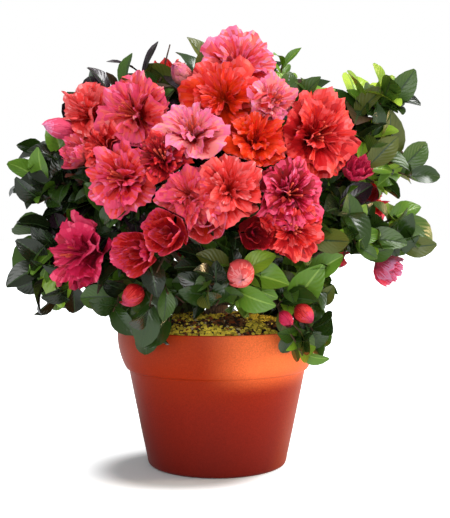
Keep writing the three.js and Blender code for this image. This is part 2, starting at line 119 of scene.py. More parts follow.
bm = bmesh.new()
bmesh.ops.create_grid(bm, x_segments=1, y_segments=1, size=FLOOR_SIZE)
floor = finished(bm, "floor", smooth=False)
floor_finish, shader = plain_finish("floor_white", "#f0f8fa", 0.9)
shader.inputs["Emission Color"].default_value = (1, 1, 1, 1)
tree = floor_finish.node_tree
nodes, links = tree.nodes, tree.links
from_shadow = nodes.new("ShaderNodeVectorMath")
from_shadow.operation = "DISTANCE"
from_shadow.inputs[1].default_value = SHADOW_CENTRE
links.new(nodes.new("ShaderNodeTexCoord").outputs["Object"], from_shadow.inputs[0])
glow = ranged(tree, from_shadow.outputs["Value"], SHADOW_INNER, SHADOW_OUTER, high=FLOOR_GLOW)
floor_glow = nodes.new("ShaderNodeMath")
floor_glow.operation = "MULTIPLY"
links.new(nodes.new("ShaderNodeLightPath").outputs["Is Camera Ray"], floor_glow.inputs[0])
links.new(glow, floor_glow.inputs[1])
links.new(floor_glow.outputs[0], shader.inputs["Emission Strength"])
floor.data.materials.append(floor_finish)
floor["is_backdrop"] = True

sky = bpy.data.worlds.new("sky")
sky.use_nodes = True
nodes, links = sky.node_tree.nodes, sky.node_tree.links
nodes["Background"].inputs["Color"].default_value = (1, 1, 1, 1)
nodes["Background"].inputs["Strength"].default_value = 0.42
backdrop = nodes.new("ShaderNodeBackground")
backdrop.inputs["Color"].default_value = (1, 1, 1, 1)
seen = nodes.new("ShaderNodeLightPath")
sky_mix = nodes.new("ShaderNodeMixShader")
links.new(seen.outputs["Is Camera Ray"], sky_mix.inputs[0])
links.new(nodes["Background"].outputs[0], sky_mix.inputs[1])
links.new(backdrop.outputs[0], sky_mix.inputs[2])
links.new(sky_mix.outputs[0], nodes["World Output"].inputs["Surface"])
bpy.context.scene.world = sky
bpy.context.scene.view_settings.view_transform = "Standard"

for name, strength, softness, towards, colour in (
    ("key", 2.6, 26, (-0.36, 0.14, -0.85), (1, 1, 1)),
    ("front", 1.5, 40, (0.05, 0.97, -0.2), (1, 1, 1)),
    ("rim", 2.4, 16, (-0.96, 0.0, -0.13), (1, 0.7, 0.36)),
):
    sun = bpy.data.lights.new(name, "SUN")
    sun.energy = strength
    sun.color = colour
    sun.angle = math.radians(softness)
    lamp = bpy.data.objects.new(name, sun)
    lamp.rotation_euler = Vector(towards).to_track_quat("-Z", "Y").to_euler()
    bpy.context.scene.collection.objects.link(lamp)


# ---- Pot ----
# A thin polypropylene nursery pot, moulded in one piece: a tapered body under a deep upright rim band,
# with a sharp ledge below the band and a rounded heel. Its colour darkens towards the bottom. Light from the
# right is painted on: a painted lit side down the body's right edge and a painted highlight on the rim band there.
POT_HEIGHT, RIM_RADIUS, WALL = 115.5, 82.5, 2.6
BAND_HEIGHT, BAND_DROP, BAND_SLOPE, BAND_TAPER, LEDGE = 35, 17, 8, 2.4, 2.4
GROOVE_RADIUS, FOOT_RADIUS, HEEL = 73.2, 57, 4
GROOVE, SHOULDER = POT_HEIGHT - BAND_HEIGHT, POT_HEIGHT - BAND_DROP
POT_COLOURS = ((0, "#68160e"), (0.45, "#821b09"), (0.685, "#922404"), (0.70, "#9c2806"), (1, "#9a310e"))
# Painted light: a pale orange painted highlight on the right of the rim band and just below it, and a painted lit
# side, lighter and more orange down the body's right edge.
PAINTED_RIM_HIGHLIGHT, PAINTED_LIT_SIDE, LIT_SIDE_START, LIT_SIDE_FULL, LIT_SIDE_MOST = "#fb7840", "#cf5a10", 0.036, 0.068, 0.4
RIM_HIGHLIGHT_WINDOWS = (("X", -0.014, 0.034, 0.86), ("Z", 0.066, 0.09, 1))  # axis, where it starts and is full, share


def body_radius(height):
    return FOOT_RADIUS + (GROOVE_RADIUS - FOOT_RADIUS) * height / GROOVE


def rounded(corners, steps=4):
    """A profile whose corners, each (radius, height, fillet), are rounded by their fillets."""
    points = []
    for i, (r, z, fillet) in enumerate(corners):
        here = Vector((r, z))
        if fillet == 0:
            points.append(here)
            continue
        before, after = Vector(corners[i - 1][:2]), Vector(corners[i + 1][:2])
        start = here + (before - here).normalized() * fillet
        end = here + (after - here).normalized() * fillet
        for k in range(steps + 1):
            t = k / steps
            points.append(start * (1 - t) ** 2 + here * 2 * t * (1 - t) + end * t * t)
    return points


def spun(profile, steps):
    """A closed solid of revolution about Z, from a profile in millimetres that starts and ends on the axis."""
    bm = bmesh.new()
    line = [bm.verts.new((p[0] * MM, 0, p[1] * MM)) for p in profile]
    edges = [bm.edges.new(pair) for pair in zip(line, line[1:])]
    bmesh.ops.spin(bm, geom=line + edges, cent=(0, 0, 0), axis=(0, 0, 1), angle=2 * math.pi,
                   steps=steps, use_merge=True)
    bmesh.ops.remove_doubles(bm, verts=bm.verts, dist=1e-6)
    bmesh.ops.recalc_face_normals(bm, faces=bm.faces)
    return bm


pot_profile = rounded([
    (0, 0, 0), (FOOT_RADIUS - 9, 0, 0), (FOOT_RADIUS + 0.2, 0.0, HEEL), (body_radius(8), 8, 0),
    (body_radius(30) + 0.2, 30, 0), (body_radius(55) + 0.2, 55, 0),
    (GROOVE_RADIUS, GROOVE - 0.6, 0.8), (GROOVE_RADIUS + LEDGE, GROOVE + 0.6, 0.9),
    (RIM_RADIUS - BAND_TAPER, SHOULDER - BAND_SLOPE, 7), (RIM_RADIUS + 0.2, SHOULDER + 5, 6),
    (RIM_RADIUS, POT_HEIGHT, 1.1), (RIM_RADIUS - WALL, POT_HEIGHT, 1.1),
    (RIM_RADIUS - WALL, SHOULDER, 3), (GROOVE_RADIUS - WALL, GROOVE - 1, 3),
    (body_radius(WALL) - WALL, WALL, 2), (0, WALL, 0),
])
pot = finished(spun(pot_profile, 128), "moulded_pot")


def speckles(tree, place, scale, detail):
    """A cloudy noise value over a place."""
    node = tree.nodes.new("ShaderNodeTexNoise")
    node.inputs["Scale"].default_value = scale
    node.inputs["Detail"].default_value = detail
    tree.links.new(place, node.inputs["Vector"])
    return node.outputs["Fac"]


def ramped(tree, value, stops):
    """The colour at a value, between stops of (value, #rrggbb code) from the lowest to the highest."""
    node = tree.nodes.new("ShaderNodeValToRGB")
    elements = node.color_ramp.elements
    for i, (at, code) in enumerate((stops[0], stops[-1])):
        elements[i].position, elements[i].color = at, tinted(code)
    for at, code in stops[1:-1]:
        elements.new(at).color = tinted(code)
    tree.links.new(value, node.inputs[0])
    return node.outputs["Color"]


def covered(tree, base, code, share):
    """A colour that another covers by a share."""
    mix = tree.nodes.new("ShaderNodeMix")
    mix.data_type = "RGBA"
    mix.inputs["B"].default_value = tinted(code)
    tree.links.new(base, mix.inputs["A"])
    tree.links.new(share, mix.inputs["Factor"])
    return mix.outputs["Result"]


def embossed(tree, shader, height, strength, distance):
    """Gives a finish a relief."""
    bump = tree.nodes.new("ShaderNodeBump")
    bump.inputs["Strength"].default_value = strength
    bump.inputs["Distance"].default_value = distance
    tree.links.new(height, bump.inputs["Height"])
    tree.links.new(bump.outputs["Normal"], shader.inputs["Normal"])


pot_finish, shader = plain_finish("terracotta_plastic", "#c4491f", 0.42)
shader.inputs["Specular IOR Level"].default_value = 0.1
tree = pot_finish.node_tree
nodes, links = tree.nodes, tree.links
place_on_pot = nodes.new("ShaderNodeTexCoord").outputs["Object"]
split = nodes.new("ShaderNodeSeparateXYZ")
links.new(place_on_pot, split.inputs[0])
share_of_height = nodes.new("ShaderNodeMath")
share_of_height.operation = "DIVIDE"
share_of_height.inputs[1].default_value = POT_HEIGHT * MM
links.new(split.outputs["Z"], share_of_height.inputs[0])
beside_taper = nodes.new("ShaderNodeMath")
beside_taper.operation = "MULTIPLY_ADD"
beside_taper.inputs[1].default_value = -(GROOVE_RADIUS - FOOT_RADIUS) / GROOVE
links.new(split.outputs["Z"], beside_taper.inputs[0])
links.new(split.outputs["X"], beside_taper.inputs[2])
# The share of the painted highlight: it grows towards the pot's right and towards the rim band's top.
rim_highlight = nodes.new("ShaderNodeMath")
rim_highlight.operation = "MULTIPLY"
for i, (axis, start, full, most) in enumerate(RIM_HIGHLIGHT_WINDOWS):
    links.new(ranged(tree, split.outputs[axis], start, full, high=most), rim_highlight.inputs[i])
pot_colour = ramped(tree, share_of_height.outputs[0], POT_COLOURS)
pot_colour = covered(tree, pot_colour, PAINTED_RIM_HIGHLIGHT, rim_highlight.outputs[0])
# A painted lit side: the body turns lighter and more orange towards its right edge.
pot_colour = covered(tree, pot_colour, PAINTED_LIT_SIDE,
                     ranged(tree, beside_taper.outputs[0], LIT_SIDE_START, LIT_SIDE_FULL, high=LIT_SIDE_MOST))
speckle = speckles(tree, place_on_pot, 900, 3)
speckled = nodes.new("ShaderNodeMix")
speckled.data_type = "RGBA"
speckled.blend_type = "MULTIPLY"
speckled.inputs["Factor"].default_value = 1
links.new(pot_colour, speckled.inputs["A"])
links.new(ranged(tree, speckle, 0.3, 0.7, 0.82, 1.12, "LINEAR"), speckled.inputs["B"])
links.new(speckled.outputs["Result"], shader.inputs["Base Color"])
scuffs = speckles(tree, place_on_pot, 60, 6)
links.new(ranged(tree, scuffs, 0, 1, 0.34, 0.5, "LINEAR"), shader.inputs["Roughness"])
embossed(tree, shader, speckle, 0.12, 0.0004)
pot.data.materials.append(pot_finish)
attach(pot, "root")
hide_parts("pot")


# ---- Soil ----
# Damp peat mix that fills the pot and mounds up to the trunk, under a crust of moss, bark and grit.
SOIL_EDGE, SOIL_CROWN, PAD_RADIUS, MOUND = 110, 124, 16, 1.6
GAP = 0.3
SOIL_RADIUS = RIM_RADIUS - WALL - GAP
CRUST_BITS, CRUST_SEED, MOSS_PATCH = 3600, 7, 0.035
GRIT = {
    "moss_yellow": "#ffe650", "moss_green": "#d8c040", "moss_dark": "#a08c28", "peat": "#3a2817",
    "bark_chip": "#7c5228", "clay_grit": "#9a4a1e", "pale_grit": "#cbb98a",
}


def soil_height(radius):
    share = np.clip((radius - PAD_RADIUS) / (RIM_RADIUS - WALL - PAD_RADIUS), 0, 1)
    return SOIL_CROWN + (SOIL_EDGE - SOIL_CROWN) * share ** MOUND


lining = [(0, WALL + GAP), (body_radius(WALL) - WALL - GAP, WALL + GAP), (GROOVE_RADIUS - WALL - GAP, GROOVE - 1),
          (RIM_RADIUS - WALL - GAP, SHOULDER)]
surface = [(r, float(soil_height(r))) for r in np.linspace(SOIL_RADIUS, 3, 40)]
bm = spun(lining + surface + [(0, SOIL_CROWN)], 120)
for vert in bm.verts:
    radius = math.hypot(vert.co.x, vert.co.y) / MM
    if vert.co.z > SHOULDER * MM + 0.004 and radius < SOIL_RADIUS - 1:
        vert.co.z += noise.noise(vert.co * 180) * 0.0012 * min(1, (SOIL_RADIUS - radius) / 6)
soil = finished(bm, "potting_mix")
peat_finish, shader = plain_finish("peat", GRIT["peat"], 0.95)
tree = peat_finish.node_tree
crumbs = speckles(tree, tree.nodes.new("ShaderNodeTexCoord").outputs["Object"], 420, 5)
tree.links.new(ramped(tree, crumbs, ((0, "#140c07"), (1, "#4d331c"))), shader.inputs["Base Color"])
soil.data.materials.append(peat_finish)
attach(soil, "root")
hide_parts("soil")


def joined(name, shapes, tints, finish, smooth=True, spread=None):
    """One mesh from (points in millimetres, faces, tint of each face) arrays, with a finish per tint.
    Where the shapes are alike, spread is the flat place of each of their points."""
    names = sorted({t for _, _, used in shapes for t in used})
    number = {t: i for i, t in enumerate(names)}
    counts = np.cumsum([0] + [len(points) for points, _, _ in shapes])
    points = np.concatenate([s[0] for s in shapes]) * MM
    faces = np.concatenate([s[1] + start for s, start in zip(shapes, counts)])
    mesh = bpy.data.meshes.new(name)
    mesh.from_pydata(points.tolist(), [], faces.tolist())
    mesh.polygons.foreach_set("material_index", [number[t] for s in shapes for t in s[2]])
    mesh.polygons.foreach_set("use_smooth", [smooth] * len(mesh.polygons))
    for tint in names:
        mesh.materials.append(finish(tint, tints[tint]))
    if spread is not None:
        corners = np.empty(len(mesh.loops), int)
        mesh.loops.foreach_get("vertex_index", corners)
        flat = np.tile(spread, (len(shapes), 1))[corners]
        mesh.uv_layers.new(name="spread").data.foreach_set("uv", flat.ravel())
    mesh.update()
    return add_piece(name, mesh)


def arrays_of(bm):
    """A bmesh's points and faces as arrays, which uses it up."""
    bm.verts.index_update()
    points = np.array([v.co[:] for v in bm.verts])
    faces = np.array([[v.index for v in f.verts] for f in bm.faces])
    bm.free()
    return points, faces


def rough_finish(tint, colour):
    return plain_finish(tint, colour, 0.9)[0]


bm = bmesh.new()
bmesh.ops.create_icosphere(bm, subdivisions=1, radius=1)
pebble, pebble_faces = arrays_of(bm)
draw = np.random.default_rng(CRUST_SEED)
crust = []
for _ in range(CRUST_BITS):
    radius = SOIL_RADIUS * math.sqrt(draw.random()) - 1.5
    bearing = draw.random() * 2 * math.pi
    x, y = abs(radius) * math.cos(bearing), abs(radius) * math.sin(bearing)
    mossy = noise.noise((x * MOSS_PATCH, y * MOSS_PATCH, 4.2)) + 0.12 - x * 0.004
    if mossy > draw.normal(0, 0.15):
        tint = draw.choice(["moss_yellow", "moss_green", "moss_dark", "moss_yellow"])
        size = draw.uniform(1.0, 2.1)
    else:
        tint = draw.choice(["peat", "bark_chip", "clay_grit", "pale_grit", "peat"], p=[0.3, 0.3, 0.2, 0.08, 0.12])
        size = draw.uniform(0.8, 1.9)
    turn = Matrix.Rotation(draw.random() * 6.28, 3, "Z") @ Matrix.Rotation(draw.random() * 6.28, 3, "X")
    bit = (pebble * size * draw.uniform(0.6, 1.3, 3)) @ np.array(turn).T
    bit = bit * (1, 1, 0.8) + (x, y, float(soil_height(math.hypot(x, y))) + size * 0.25)
    crust.append((bit, pebble_faces, [tint] * len(pebble_faces)))
moss = joined("moss_and_grit", crust, GRIT, rough_finish, smooth=False)
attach(moss, "root")
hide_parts("soil")


# ---- Trunk and boughs ----
# A short woody trunk that flares at the soil, and a thin bough from it, or from its leader, to each mass
# of growth. Brown, finely cracked bark.
TRUNK_HEIGHT, FLARE_RADIUS, TRUNK_RADIUS, TRUNK_TIP, LEAN = 27, 12, 8.5, 6.5, 3
LEADER_RADIUS, BOUGH_BASE, BOUGH_TIP = 4.6, 2.7, 1.6
LOW_START, HIGH_START, HIGH_FROM, STAGGER = 8, 16, 200, 3.5
LEADER_START, LEADER_STEP, BOW_OUT, BOW_DOWN = 0.32, 0.07, 6, 4
TRUNK_FOOT = SOIL_CROWN + GAP
TRUNK_PROFILE = (0, 0.1, 0.2, 0.4, 1), (FLARE_RADIUS, 10.6, 9.5, TRUNK_RADIUS, TRUNK_TIP)
CROWN_MIDDLE = np.array((0, 0, 190.0))
CELL_MARGIN, LIMB_CLEARANCE, POT_CLEARANCE = 0.35, 1.8, 1.5
VIEW_LEFT, VIEW_RIGHT, VIEW_BACK, VIEW_TOP = -33, 46, -25, 139
OPEN_RIGHT, RIGHT_TOP, OPEN_LEFT, LEFT_TOP, LOWEST_LEAF = 90, 174, -74, 128, 98
STEM_RADIUS, STEM_FIRST, STEM_LAST, STEM_STEP, STEM_REACH = 1.7, 0.42, 0.95, 0.03, 0.8

# Each mass: its name, the limb it grows from, its usual greens, and its shoots. A shoot is its kind, its
# bearing in degrees (0 is the front, 90 the right), how far out and how high its tip is, its size, where it
# faces if not away from the crown's middle, and its colours.
MASSES = [
    ("crown_top", "leader", "dusky", [
        ("bloom", 16, 66, 322, 58, (12, 22), "salmon"), ("bud", -24, 74, 318, 26, (-30, 25), "pink"),
        ("tuft", -64, 62, 304, 38, None, "dusky"), ("tuft", 95, 52, 318, 40, None, "bright")]),
    ("upper_front", "leader", "dusky", [
        ("bloom", 3, 104, 292, 60, (-4, 8), "orange"), ("bloom", 22, 112, 290, 40, (22, 10), "pink"),
        ("tuft", 48, 84, 308, 42, None, "bright")]),
    ("front_high", "leader", "dark", [
        ("bloom", 14, 122, 263, 50, None, "ember"), ("bloom", -8, 122, 268, 52, None, "pink"),
        ("bloom", -17, 132, 248, 42, None, "dark_red")]),
    ("upper_left", "leader", "dusky", [
        ("bloom", -65, 116, 286, 54, (-42, 12), "flame"), ("bud", -68, 138, 275, 28, (-56, 5), "lilac"),
        ("tuft", -84, 104, 282, 30, (-80, 20), "dusky")]),
    ("upper_left_front", "leader", "dusky", [
        ("bloom", -33, 116, 283, 58, (-24, 12), "coral"), ("bloom", -43, 127, 260, 38, None, "red"),
        ("tuft", -42, 92, 306, 36, (-62, 22), "dusky")]),
    ("upper_right", "leader", "fresh", [
        ("bloom", 38, 124, 266, 64, (22, 6), "red"), ("tuft", 44, 100, 300, 40, (30, 40), "bright")]),
    ("front_left", "trunk", "dark", [
        ("bloom", -31, 135, 234, 54, (-24, 8), "frilled"), ("cup", -52, 134, 252, 34, (-50, 20), "coral"),
        ("tuft", -40, 132, 208, 42, (-34, 0), "dark")]),
    ("front_centre", "trunk", "dark", [
        ("bloom", -8, 136, 222, 46, None, "coral"), ("bloom", 4, 137, 226, 50, None, "flame"),
        ("cup", -3, 138, 202, 40, None, "salmon")]),
    ("front_right", "trunk", "green", [
        ("bloom", 23, 137, 222, 50, (15, 5), "cerise"), ("bloom", 24, 135, 196, 46, (10, -5), "red"),
        ("cup", 12, 132, 194, 30, None, "dark_red")]),
    ("right_high", "trunk", "green", [
        ("tuft", 79, 160, 250, 54, (70, 8), "olive"), ("tuft", 78, 132, 310, 44, (64, 40), "lime"),
        ("cup", 52, 134, 240, 28, (30, 40), "crimson"), ("tuft", 62, 130, 262, 44, (45, 10), "dusky")]),
    ("right_low", "trunk", "green", [
        ("tuft", 82, 172, 208, 52, (74, 5), "fresh"), ("tuft", 54, 134, 214, 46, (42, 0), "dark"),
        ("cup", 81, 140, 164, 34, (62, -25), "lilac"), ("tuft", 60, 136, 198, 40, (50, 0), "green")]),
    # The left masses take the shaded greens: darker leaves that are partly painted shade on the crown's left.
    ("left", "trunk", "shaded", [
        ("tuft", -68, 148, 234, 50, (-50, 5), "dark"), ("tuft", -86, 148, 220, 46, (-75, 0), "green"),
        ("tuft", -82, 136, 258, 40, (-75, 20), "dark")]),
    ("left_low", "trunk", "shaded", [
        ("bloom", -50, 137, 178, 62, (-56, 0), "crimson"), ("tuft", -80, 158, 196, 50, (-70, 5), "fresh"),
        ("tuft", -78, 150, 162, 50, (-66, -45), "dark")]),
    ("front_left_low", "trunk", "glossy", [
        ("cup", -24, 138, 180, 42, None, "scarlet"), ("cup", -14, 140, 194, 40, None, "scarlet"),
        ("bud", -30, 128, 146, 26, None, "frilled"),
        ("tuft", -26, 102, 116, 52, (-24, -60), "glossy"), ("tuft", -46, 124, 150, 44, (-42, -20), "green")]),
    ("front_low", "trunk", "green", [
        ("bud", 8, 132, 162, 34, (6, -12), "pale"), ("tuft", -6, 116, 164, 38, None, "dark"),
        ("tuft", 18, 122, 166, 42, (22, 4), "fresh")]),
    ("front_right_low", "trunk", "green", [
        ("bud", 35, 120, 130, 24, None, "scarlet"), ("bud", 26, 120, 129, 18, None, "crimson"),
        ("tuft", 40, 126, 158, 48, (35, -5), "bright"), ("tuft", 52, 104, 130, 34, (46, -60), "glossy")]),
]

# The rings of like masses round the back: name, limb, bearings, distance, height, bloom size, how far its two
# blooms are spread either side and lifted or lowered, and how far up and how far round its leaves are.
BACK_RINGS = [
    ("back_top", "leader", (192,), 54, 320, 56, 40, 6, 22, (0,)),
    ("back_upper", "leader", (118, 178, 238), 104, 288, 56, 16, 9, 22, (0,)),
    ("back_middle", "trunk", (112, 157, 201, 245), 132, 234, 56, 11, 15, 22, (0,)),
    ("back_low", "trunk", (140, 180, 222), 128, 174, 54, 12, -10, -40, (0, 21)),
]
BACK_BLOOMS = ["coral", "red", "salmon", "flame", "frilled", "pink", "scarlet", "orange"]
BACK_GREENS = ["green", "dusky", "fresh", "olive"]
for name, limb, bearings, out, up, size, spread, lift, tuft_lift, tuft_turns in BACK_RINGS:
    for i, bearing in enumerate(bearings):
        rise = lift if i % 2 else -lift
        greens = BACK_GREENS[len(MASSES) % 4]
        MASSES.append((f"{name}_{i + 1}", limb, greens, [
            ("bloom", bearing - spread, out, up + rise, size, None, BACK_BLOOMS[len(MASSES) % 8]),
            ("bloom", bearing + spread, out, up - rise, size - 6, None, BACK_BLOOMS[(len(MASSES) + 3) % 8]),
            *(("tuft", bearing + turn, out - 8, up + tuft_lift, 42, None, greens) for turn in tuft_turns)]))


def from_bearing(bearing, out, up):
    turn = math.radians(bearing)
    return np.array((out * math.sin(turn), -out * math.cos(turn), up))


def unit(v):
    return v / np.linalg.norm(v)


shoots = []
for m, (_, _, _, rows) in enumerate(MASSES):
    for kind, bearing, out, up, size, face, colours in rows:
        tip = from_bearing(bearing, out, up)
        away = unit(tip - CROWN_MIDDLE)
        if face:
            rise = math.radians(face[1])
            away = from_bearing(face[0], math.cos(rise), math.sin(rise))
        shoots.append({"mass": m, "kind": kind, "size": size, "tip": tip, "away": away, "colours": colours})
middles = np.array([s["tip"] - s["away"] * s["size"] * 0.15 for s in shoots])
weights = np.array([(s["size"] / 2) ** 2 for s in shoots])
owners = np.array([s["mass"] for s in shoots])


def in_space(points, m, margin=CELL_MARGIN):
    """Whether each point keeps to a mass's own space: the shoot that is nearest for its size is one of its own."""
    power = ((points[:, None] - middles) ** 2).sum(2) - weights
    own = np.where(owners == m, power, np.inf).argmin(1)
    apart = np.linalg.norm(middles[own][:, None] - middles, axis=2)
    clear = power - power[np.arange(len(points)), own][:, None] >= 2 * margin * apart
    return (clear | (owners == m)).all(1)


def clear_of_pot(points):
    """Whether each point clears the pot, the soil and the space in front where the soil shows."""
    x, y, z = points.T
    in_view = (x > VIEW_LEFT) & (x < VIEW_RIGHT) & (y < VIEW_BACK) & (z < VIEW_TOP)
    radius = np.hypot(x, y)
    over_rim = radius > RIM_RADIUS - WALL - POT_CLEARANCE
    lowest = np.where(over_rim, POT_HEIGHT, soil_height(radius)) + POT_CLEARANCE
    return ~in_view & (z > np.where(radius > RIM_RADIUS + POT_CLEARANCE, 0, lowest))


def trunk_middle(height):
    share = (height - TRUNK_FOOT) / TRUNK_HEIGHT
    return np.array((LEAN * share * share, 0, height))


def bowed(start, bend, end, t):
    return start * (1 - t) ** 2 + bend * 2 * t * (1 - t) + end * t * t


def along(start, end, shares):
    return start + (end - start) * np.array(shares)[:, None]


masses = []
used = {"trunk": 0, "leader": 0}
for m, (name, limb, greens, _) in enumerate(MASSES):
    own = [s for s in shoots if s["mass"] == m]
    heart = np.mean([s["tip"] - s["away"] * s["size"] * 0.4 for s in own], axis=0)
    step = used[limb]
    used[limb] += m > 0
    start = trunk_middle(TRUNK_FOOT + (HIGH_START if heart[2] > HIGH_FROM else LOW_START) + step % 2 * STAGGER)
    if m == 0:
        start = trunk_middle(TRUNK_FOOT + TRUNK_HEIGHT) + (0, 0, GAP)
    elif limb == "leader":
        start = bowed(*masses[0]["bough"], LEADER_START + LEADER_STEP * step)
    root = start + (heart - start) * STEM_LAST
    for share in np.arange(STEM_FIRST, STEM_LAST, STEM_STEP):
        tried = start + (heart - start) * share
        if in_space(along(tried, heart, [0, 0.25, 0.5, 0.75]), m, STEM_RADIUS + CELL_MARGIN).all():
            root = tried
            break
    bend = (start + root) / 2
    if m:
        bend = bend + unit(heart * (1, 1, 0)) * BOW_OUT - (0, 0, BOW_DOWN)
    masses.append({"name": name, "greens": greens, "shoots": own, "heart": heart, "root": root,
                   "bough": (start, bend, root), "radius": BOUGH_BASE if m else LEADER_RADIUS})


def on_bough(mass, t):
    """The middle and the radius of a mass's bough at a share of its length."""
    return bowed(*mass["bough"], t), mass["radius"] + (BOUGH_TIP - mass["radius"]) * t


limbs = [on_bough(mass, t) for mass in masses for t in np.linspace(0, 1, 11)]
limb_points, limb_radii = np.array([point for point, _ in limbs]), np.array([radius for _, radius in limbs])


def clear_of_limbs(points):
    distance = np.linalg.norm(points[:, None] - limb_points, axis=2)
    return (distance > limb_radii + LIMB_CLEARANCE).all(1)


def tubes(name, lines, fineness):
    """Round tapering tubes along lines of (point, radius), closed at both ends, as one mesh."""
    curve = bpy.data.curves.new(name, "CURVE")
    curve.dimensions = "3D"
    curve.bevel_depth = MM
    curve.bevel_resolution = fineness
    curve.use_fill_caps = True
    for line in lines:
        spline = curve.splines.new("POLY")
        spline.points.add(len(line) - 1)
        for point, (place, radius) in zip(spline.points, line):
            point.co = (*(np.array(place) * MM), 1)
            point.radius = radius
    holder = add_piece(name + "_curve", curve)
    mesh = bpy.data.meshes.new_from_object(holder.evaluated_get(bpy.context.evaluated_depsgraph_get()))
    bpy.data.objects.remove(holder)
    mesh.name = name
    mesh.materials.clear()
    mesh.polygons.foreach_set("use_smooth", [True] * len(mesh.polygons))
    return mesh


def roughened(mesh, depth, grain):
    """Moves a mesh's points along their normals by cracks that run along it."""
    for vert in mesh.vertices:
        place = Vector((vert.co.x * grain, vert.co.y * grain, vert.co.z * grain * 0.3))
        ridge = noise.noise(place) + 0.5 * noise.noise(place * 2.7)
        vert.co += vert.normal * ridge * depth
    mesh.update()


trunk_line = []
for t in np.linspace(0, 1, 28):
    trunk_line.append((trunk_middle(TRUNK_FOOT + t * TRUNK_HEIGHT), float(np.interp(t, *TRUNK_PROFILE))))
wood = tubes("bark", [trunk_line], 6)
roughened(wood, depth=0.0011, grain=260)
bough_lines = []
for mass in masses:
    reach = np.linalg.norm(mass["bough"][2] - mass["bough"][0])
    shares = np.linspace(0, 1, max(6, int(reach / 3)))
    bough_lines.append([on_bough(mass, t) for t in shares])
branches = tubes("boughs", bough_lines, 3)
roughened(branches, depth=0.00035, grain=600)
bm = bmesh.new()
bm.from_mesh(wood)
bm.from_mesh(branches)
bark = finished(bm, "trunk_and_boughs")

bark_finish, shader = plain_finish("bark", "#5b4330", 0.85)
tree = bark_finish.node_tree
nodes, links = tree.nodes, tree.links
stretched = nodes.new("ShaderNodeMapping")
stretched.inputs["Scale"].default_value = (1, 1, 0.25)
links.new(nodes.new("ShaderNodeTexCoord").outputs["Object"], stretched.inputs["Vector"])
cracks = speckles(tree, stretched.outputs["Vector"], 700, 6)
links.new(ramped(tree, cracks, ((0.35, "#2a1a10"), (0.7, "#80624a"))), shader.inputs["Base Color"])
embossed(tree, shader, cracks, 0.6, 0.0006)
bark.data.materials.append(bark_finish)
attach(bark, "root")
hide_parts("trunk", *["bough_" + mass["name"] for mass in masses])


# ---- Growth ----
# Every mass grows from one stem: a twig to each shoot, with a flower or a tuft at its end and leaves up it
# by the golden angle. Then short side twigs fill its inside with smaller leaves.
TWIG_RADIUS, TWIG_TIP = 1.3, 1.1
FORKS = (0.6, 0.75, 0.9, 0.45, 0.3, 0.97)
LEAF_LENGTH, LEAF_SINK, LEAF_ROOM = 42, 1.2, 0.48
LEAF_WIDTH, LEAF_KEEL, LEAF_ARCH, LEAF_DROOP = 0.52, 0.07, 0.08, 0.12
LEAF_SHARES = (1, 0.8, 0.64)
STEM_LEAVES, WHORL, TUFT = (3, 55, 75, None), (5, 62, 84, 4), (9, 46, 96, 2.6)
FLOWER_SHARES, FLOWER_PULL, FLOWER_ROOM, FLOWER_HEART = (1, 0.9, 0.8, 0.7, 0.6), 0.35, 0.1, 0.25
SET_BACK = {"bloom": 0.34, "cup": 0.34, "bud": 0.7, "tuft": 0.45}
SIDE_TWIGS, SIDE_LEAVES, SIDE_LENGTH, SIDE_ROOM, SIDE_DROOP = 34, 6, 31, 0.31, 11
GOLDEN_ANGLE = math.radians(137.5)
TWIG_SEED, LEAF_SEED, EXTRA_SEED = 11, 211, 997
# Shoots that are placed singly: foot, tip, leaves, their length and slimness, and greens. Short ones rise from the
# trunk's foot in front, slender ones stand out of the crown's top, and leafy ones close its inside.
EXTRA_SHOOTS = (
    ((0, 0, 131), (26, -42, 148), 8, 25, 0.7, "fresh"),
    ((0, 0, 131), (-14, -42, 145), 7, 22, 0.8, "glossy"),
    ((-50, -26, 300), (-60, -34, 318), 6, 30, 0.4, "dusky"),
    ((-50, -26, 300), (-37, -32, 342), 0, 0, 1, "dusky"),
    ((50, -10, 300), (52, -30, 326), 8, 24, 0.6, "bright"),
    ((0, -60, 196), (13, -94, 198), 7, 26, 1, "dark"),
    ((0, 0, 140), (74, 4, 168), 10, 36, 1, "green"),
    ((0, 0, 140), (62, 30, 150), 10, 34, 1, "green"),
    ((0, 0, 180), (84, 18, 194), 10, 36, 1, "green"),
    ((0, 0, 210), (2, 92, 226), 9, 36, 1, "dusky"),
    ((0, 0, 165), (-82, 16, 184), 10, 36, 1, "dark"),
    ((0, 0, 172), (-58, -4, 204), 10, 36, 1, "dark"),
    ((0, 0, 190), (-24, 22, 236), 9, 34, 1, "dusky"),
)


def seeded(seed):
    """Numbers from 0 to 1, the same on each run."""
    state = seed * 2654435761 % 4294967296
    while True:
        state = (state * 1664525 + 1013904223) % 4294967296
        yield state / 4294967296


def standing(direction):
    return Vector((0, 0, 1)).rotation_difference(Vector(direction)).to_matrix()


def leaf_places(count, opening, spacing, end, foot, facing, length, random):
    """Leaves up a twig from the youngest at its end: each a root, a turning matrix and a length."""
    first = next(random) * 2 * math.pi
    reach = np.linalg.norm(end - foot)
    for i in range(count):
        turn = first + i * GOLDEN_ANGLE + (next(random) - 0.5) * 0.4
        open_by = math.radians(opening[0] + (opening[1] - opening[0]) * i / (count - 1))
        size = length * (0.85 + 0.3 * next(random))
        way = (standing(facing) @ Matrix.Rotation(turn, 3, "Z") @ Matrix.Rotation(-open_by, 3, "X")
               @ Matrix.Rotation(math.pi, 3, "Z"))
        way = np.array(way)
        root = end + (foot - end) * min(0.9, i * spacing / reach) - way[:, 2] * LEAF_SINK
        yield root, way, size


